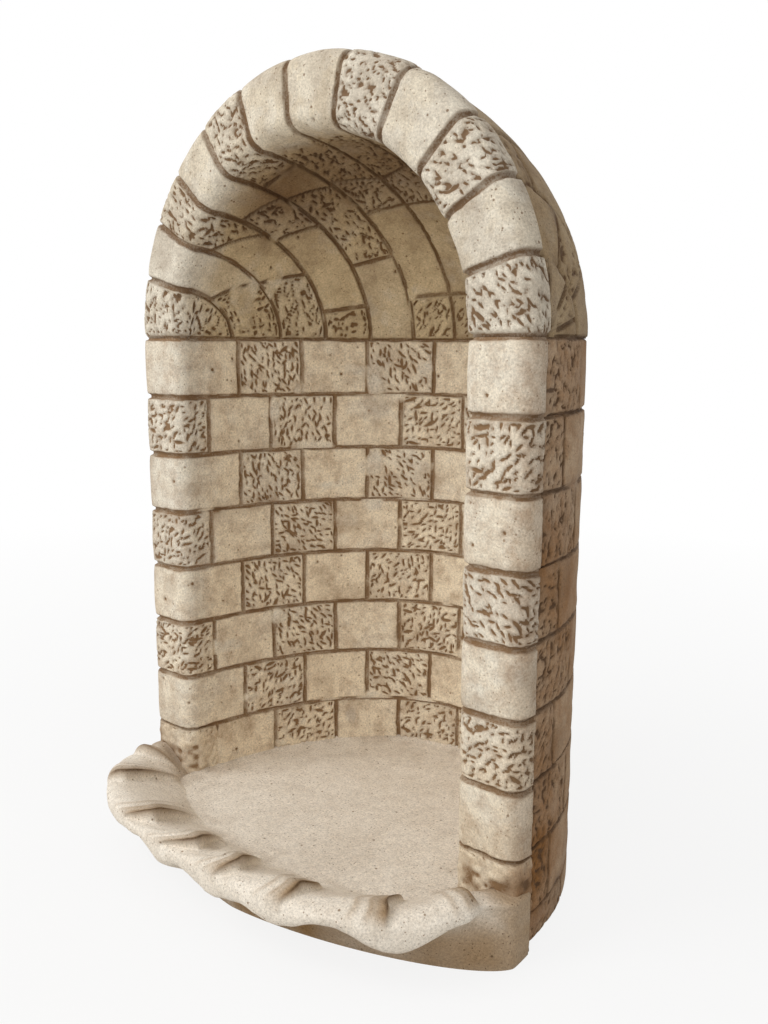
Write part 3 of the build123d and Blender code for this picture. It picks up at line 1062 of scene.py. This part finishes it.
floor_z += swell_height * (mottle(floor_x, floor_y, swell_patch, 61) - 0.5)
floor_z += trowel_height * (mottle(floor_x, floor_y, trowel_patch, 62) - 0.5)
top_points = np.stack([floor_x, floor_y, floor_z], axis=-1)
rim_points = np.stack([edge_x, edge_y, 0 * edge_x], axis=-1)[None]
hub_points = np.zeros((1, floor_spokes, 3))
floor_points = np.concatenate([top_points, rim_points, hub_points])
soil = np.exp(-to_edge / soil_reach) * 0.5 * mottle(floor_x, floor_y, soil_patch, 63)
ochre = ease(1.2 - np.hypot(floor_x - ochre_x, floor_y - ochre_y) / ochre_reach) * 0.2
rubbed = mottle(floor_x, floor_y, rub_patch, 65) * mottle(floor_x, floor_y, scuff_patch, 66)
ochre = np.maximum(ochre, (0.15 + 0.75 * np.exp(-to_edge / rub_reach)) * rubbed)
soil = np.concatenate([soil, soil[-2:] * 0])
ochre = np.concatenate([ochre, ochre[-2:] * 0])
floor_tone = mottle(floor_points[..., 0], floor_points[..., 1], floor_tone_patch, 64)
_, floor_quads = grid_quads(floor_rings + 2, floor_spokes, 0)
make_piece(
    "floor", floor_points.reshape(-1, 3), floor_quads, np.zeros((0, 3), dtype=int),
    stack_skin(soil, floor_tone, 0.95, ochre), basin_stone, ["floor_slab"],
)

# %% [markdown]
# ## The rope-like lip
# The lip in front is the one free-hand form: nine lobes that overlap like twisted rope or the petals of a
# shell. Each rises steeply beside a crease, is fullest near it and sinks slowly into the next crease, and
# the creases swing round as they run down to the floor. Sculpting it would hide how it works. Here a smooth
# section is carried round the front, its columns follow the creases, and a saw-tooth wave lifts the lobes.

# %% Section and swing of the lip
lip_rows, lip_columns = 84, 380
crease_shares = np.array([0.05, 0.144, 0.27, 0.39, 0.565, 0.71, 0.845, 0.96])
crest_shift = np.array([0.0, 0.0, 0.033, 0.08, 0.043, 0.03, 0.012, 0.0])
floor_shift = np.array([-0.04, -0.12, -0.1, -0.08, -0.02, 0.08, 0.085, 0.025])
crest_back = 17 * mm
rim_places = np.array([-0.05, 0.12, 0.2, 0.32, 0.385, 0.45, 0.55, 0.63, 0.7, 0.785, 0.86, 0.93, 1.05])
rim_heights = np.array([60, 62, 57, 66, 52, 61, 49, 57, 51, 68, 47, 68, 62]) * mm
floor_oval = (205 * mm, 80 * mm, 2.0)
crest_oval = (lip_half - crest_back, lip_reach - crest_back, 2.5)
rim_oval = (lip_half, lip_reach, 2.5)
foot_oval = (half_width + 2 * mm, lip_reach - 60 * mm, 1.45)


def lip_radius(share, half_x, half_y, power):
    """Distance from the middle to a rounded-off oval along the direction of a share from left to right: the
    powers of both coordinates over the half sizes add up to one."""
    across_part = (np.abs(np.cos(math.pi * share)) / half_x) ** power
    front_part = (np.abs(np.sin(math.pi * share)) / half_y) ** power
    return (across_part + front_part) ** (-1 / power)


def swing(share, climb):
    """How far a crease strays from its share at the rim: it leans to the right as it crosses the crest, and
    runs down the slope to its own place at the floor. Between two creases the shift changes evenly."""
    places = np.concatenate([[0.0], crease_shares, [1.0]])
    at_crest = np.interp(share, places, np.pad(crest_shift, 1))
    at_floor = np.interp(share, places, np.pad(floor_shift, 1))
    return at_crest * ease((1.45 - climb) / 0.5) * ease(climb / 0.7) + at_floor * ease(1 - climb)


def spline_weights(knots, count):
    """Weights of a smooth curve pulled by a row of handles: the uniform cubic basis, with the first and
    last handles counted three times so that the curve ends on them."""
    place_on = np.linspace(0, knots + 1 - 1e-9, count)
    first = np.floor(place_on).astype(int)
    t = place_on - first
    second, third = 3 * t**3 - 6 * t**2 + 4, -3 * t**3 + 3 * t**2 + 3 * t + 1
    basis = np.stack([(1 - t) ** 3, second, third, t**3], axis=1) / 6
    weights = np.zeros((count, knots))
    for k in range(4):
        handle = np.clip(first + k - 2, 0, knots - 1)
        np.add.at(weights, (np.arange(count), handle), basis[:, k])
    return weights


print("lip with", len(crease_shares) + 1, "lobes")

# %% Carry the section round
handle_count = 12
lip_end = 0.03
lobe_room, end_start, end_fall, end_tuck = 6 * mm, 0.88, 8 * mm, 6 * mm
rim_drop = 14 * mm
share = spaced(1 + 2 * lip_end, lip_columns, crease_shares + lip_end, crowd=1.2, reach=0.018) - lip_end
weights = spline_weights(handle_count, lip_rows)
handle_place = weights @ np.arange(handle_count)
climb = ((handle_place - 1) / 3)[:, None]
swung = share + swing(share, climb)
ending = ease((np.abs(2 * swung - 1) - end_start) / (1 - end_start))
held = np.clip(swung, 0, 1)
lip_ovals = (floor_oval, crest_oval, rim_oval, foot_oval)
floor_r, crest_r, rim_r, foot_r = (lip_radius(held, *sizes) for sizes in lip_ovals)
floor_r = floor_r + (opening + end_tuck - floor_r) * ending
rim_r = (rim_r - lobe_room) * (1 - ending) + foot_r * ending
crest_r = (crest_r - lobe_room) * (1 - ending) + (foot_r - 1.4 * crest_back) * ending
rim_span = np.searchsorted(rim_places, swung).clip(1, len(rim_places) - 1)
rim_step = ease((swung - rim_places[rim_span - 1]) / (rim_places[rim_span] - rim_places[rim_span - 1]))
rim_level = rim_heights[rim_span - 1] + (rim_heights[rim_span] - rim_heights[rim_span - 1]) * rim_step
slope = crest_r - floor_r
crest_z = crest_level - end_fall * ending
rim_level = np.minimum(rim_level, crest_z - rim_drop)

# Handles of the section, each with its radius and height: slope, crest, rim, and under it down to the foot.
handles = [
    (floor_r - 16 * mm, floor_level - 4 * mm),
    (floor_r + 1 * mm, floor_level + 1 * mm),
    (floor_r + 0.32 * slope, floor_level + 16 * mm),
    (floor_r + 0.78 * slope, crest_z - 4 * mm),
    (crest_r, crest_z + 2 * mm),
    (rim_r - 1 * mm, crest_z - 6 * mm),
    (rim_r + 2 * mm, (crest_z + rim_level) / 2),
    (rim_r, rim_level),
    (rim_r - 14 * mm * (1 - ending), rim_level - 6 * mm),
    (foot_r + 10 * mm * (1 - ending), 26 * mm),
    (foot_r + 1 * mm, 9 * mm),
    (foot_r, 0.0),
]
lip_r = sum(weights[:, k, None] * handles[k][0] for k in range(handle_count))
lip_z = sum(weights[:, k, None] * handles[k][1] for k in range(handle_count))
lip_grid = np.stack([-lip_r * np.cos(math.pi * swung), -lip_r * np.sin(math.pi * swung), lip_z], axis=-1)
print("lip: grid of", lip_r.shape)

# %% Lobes and creases
lift_places = [0.9, 1.6, 2.5, 3.4, 4.2, 4.8, 5.4, 6.2]
lift_heights = [0, 4, 9, 13, 13, 8, 2, 0]
lip_length, handle_step = 900 * mm, 16 * mm
flatter_shares, flatter_lift = [0.6, 0.85], 0.66
dent_height, dent_patch = 1.8 * mm, 22 * mm
pit_height, pit_patch = 0.7 * mm, 7 * mm
crease_edges = np.concatenate([[-0.05], crease_shares, [1.05]])
lobe = np.searchsorted(crease_shares, share)
in_lobe = (share - crease_edges[lobe]) / (crease_edges[lobe + 1] - crease_edges[lobe])
lobe_scale = (0.8 + 0.4 * scatter(lobe, 0, 71)) * np.interp(share, flatter_shares, [1.0, flatter_lift])
lift = np.interp(handle_place, lift_places, lift_heights)[:, None] * mm
ridge = ease(in_lobe / 0.06) * (1 - 0.95 * ease((in_lobe - 0.1) / 0.9))
folds = np.exp(-(((in_lobe - 0.7) / 0.035) ** 2)) + 0.7 * np.exp(-(((in_lobe - 0.85) / 0.03) ** 2))
lip_out = (lift * lobe_scale * (ridge - 0.62) - 0.08 * lift * folds) * (1 - 0.85 * ending)
across_lip, up_lip = share * lip_length, handle_place[:, None] * handle_step
lip_out = lip_out + dent_height * (mottle(across_lip, up_lip, dent_patch, 81) - 0.5)
lip_out += pit_height * (mottle(across_lip, up_lip, pit_patch, 82) - 0.5)
lip_out *= ease(handle_place / 0.8)[:, None] * ease((11.0 - handle_place) / 1.5)[:, None]
lip_normals = surface_normals(lip_grid, 1)
lip_points = lip_grid + lip_normals * lip_out[..., None]
keel = np.stack([lip_grid[0, :, 0], lip_grid[0, :, 1], 0 * share], axis=-1)[None]
lip_points = np.concatenate([lip_points, keel])
print("lobes rise up to", round(float(lip_out.max()) / mm, 1), "mm")

# %% Dirt and painted shade on the lip
foot_patch, lip_tone_patch = 40 * mm, 40 * mm
under_row = 0 * share[None]
# Painted shade with brown dirt: pocket darkens each lobe where it sinks into the next crease, the folds with
# it, and crease_line lays a dark brown line along each crease, darker where the lobes rise higher.
pocket = np.exp(-(((in_lobe - 1.0) / 0.15) ** 2)) + np.exp(-((in_lobe / 0.03) ** 2))
crease_line = np.exp(-((np.minimum(in_lobe, 1 - in_lobe) / 0.03) ** 2)) * np.clip(lift / (12 * mm), 0, 1)
crease_shade_and_stain = np.concatenate([0.64 * crease_line * (1 - ending), under_row])
lip_shade = 0.95 * np.clip(pocket + 0.5 * folds, 0, 1) * np.clip(lift / (10 * mm), 0, 1)
# Browner from just under the rim down to the foot, in patches.
lip_foot = ease((handle_place - 6.6) / 2.4)[:, None]
lip_foot = lip_foot * (0.65 + 0.5 * mottle(across_lip, up_lip, foot_patch, 84))
lip_weather_and_shade = np.maximum(np.maximum(lip_foot, lip_shade), 0.8 * ending**2)
lip_weather_and_shade = np.concatenate([lip_weather_and_shade, under_row])
lip_pale = 0.6 + 0.35 * ease((3 - np.append(handle_place, 0)) / 1.8)[:, None]
lip_tone = mottle(lip_points[..., 0], lip_points[..., 1], lip_tone_patch, 83)
print("share of the lip in the brown of a crease:", round(float((crease_shade_and_stain > 0.5).mean()), 3))

# %% Close the lip
lip_ids, lip_quads = grid_quads(lip_rows + 1, lip_columns, 0)
closing_quads = np.stack([lip_ids[-1, :-1], lip_ids[-1, 1:], lip_ids[0, 1:], lip_ids[0, :-1]], axis=-1)
half_way = lip_rows // 2
upper, lower = np.arange(half_way + 1), np.arange(lip_rows, half_way - 1, -1)
upper_at, lower_at = np.linspace(0, 1, len(upper)), np.linspace(0, 1, len(lower))
end_strips = [zip_strip(lip_ids[upper, k], upper_at, lip_ids[lower, k], lower_at) for k in (0, -1)]
make_piece(
    "lip", lip_points.reshape(-1, 3),
    np.concatenate([lip_quads, closing_quads]), np.concatenate(end_strips),
    stack_skin(crease_shade_and_stain, lip_tone, lip_pale, lip_weather_and_shade), basin_stone, lobe_names,
)

# %% [markdown]
# ## Sizes and finish
# The box of every shown piece, relief and all, is printed. Relief must not make the
# niche bigger than its solids.

# %% Finish
low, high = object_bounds()
print("visual box", [round(v, 3) for v in (*low, *high)])
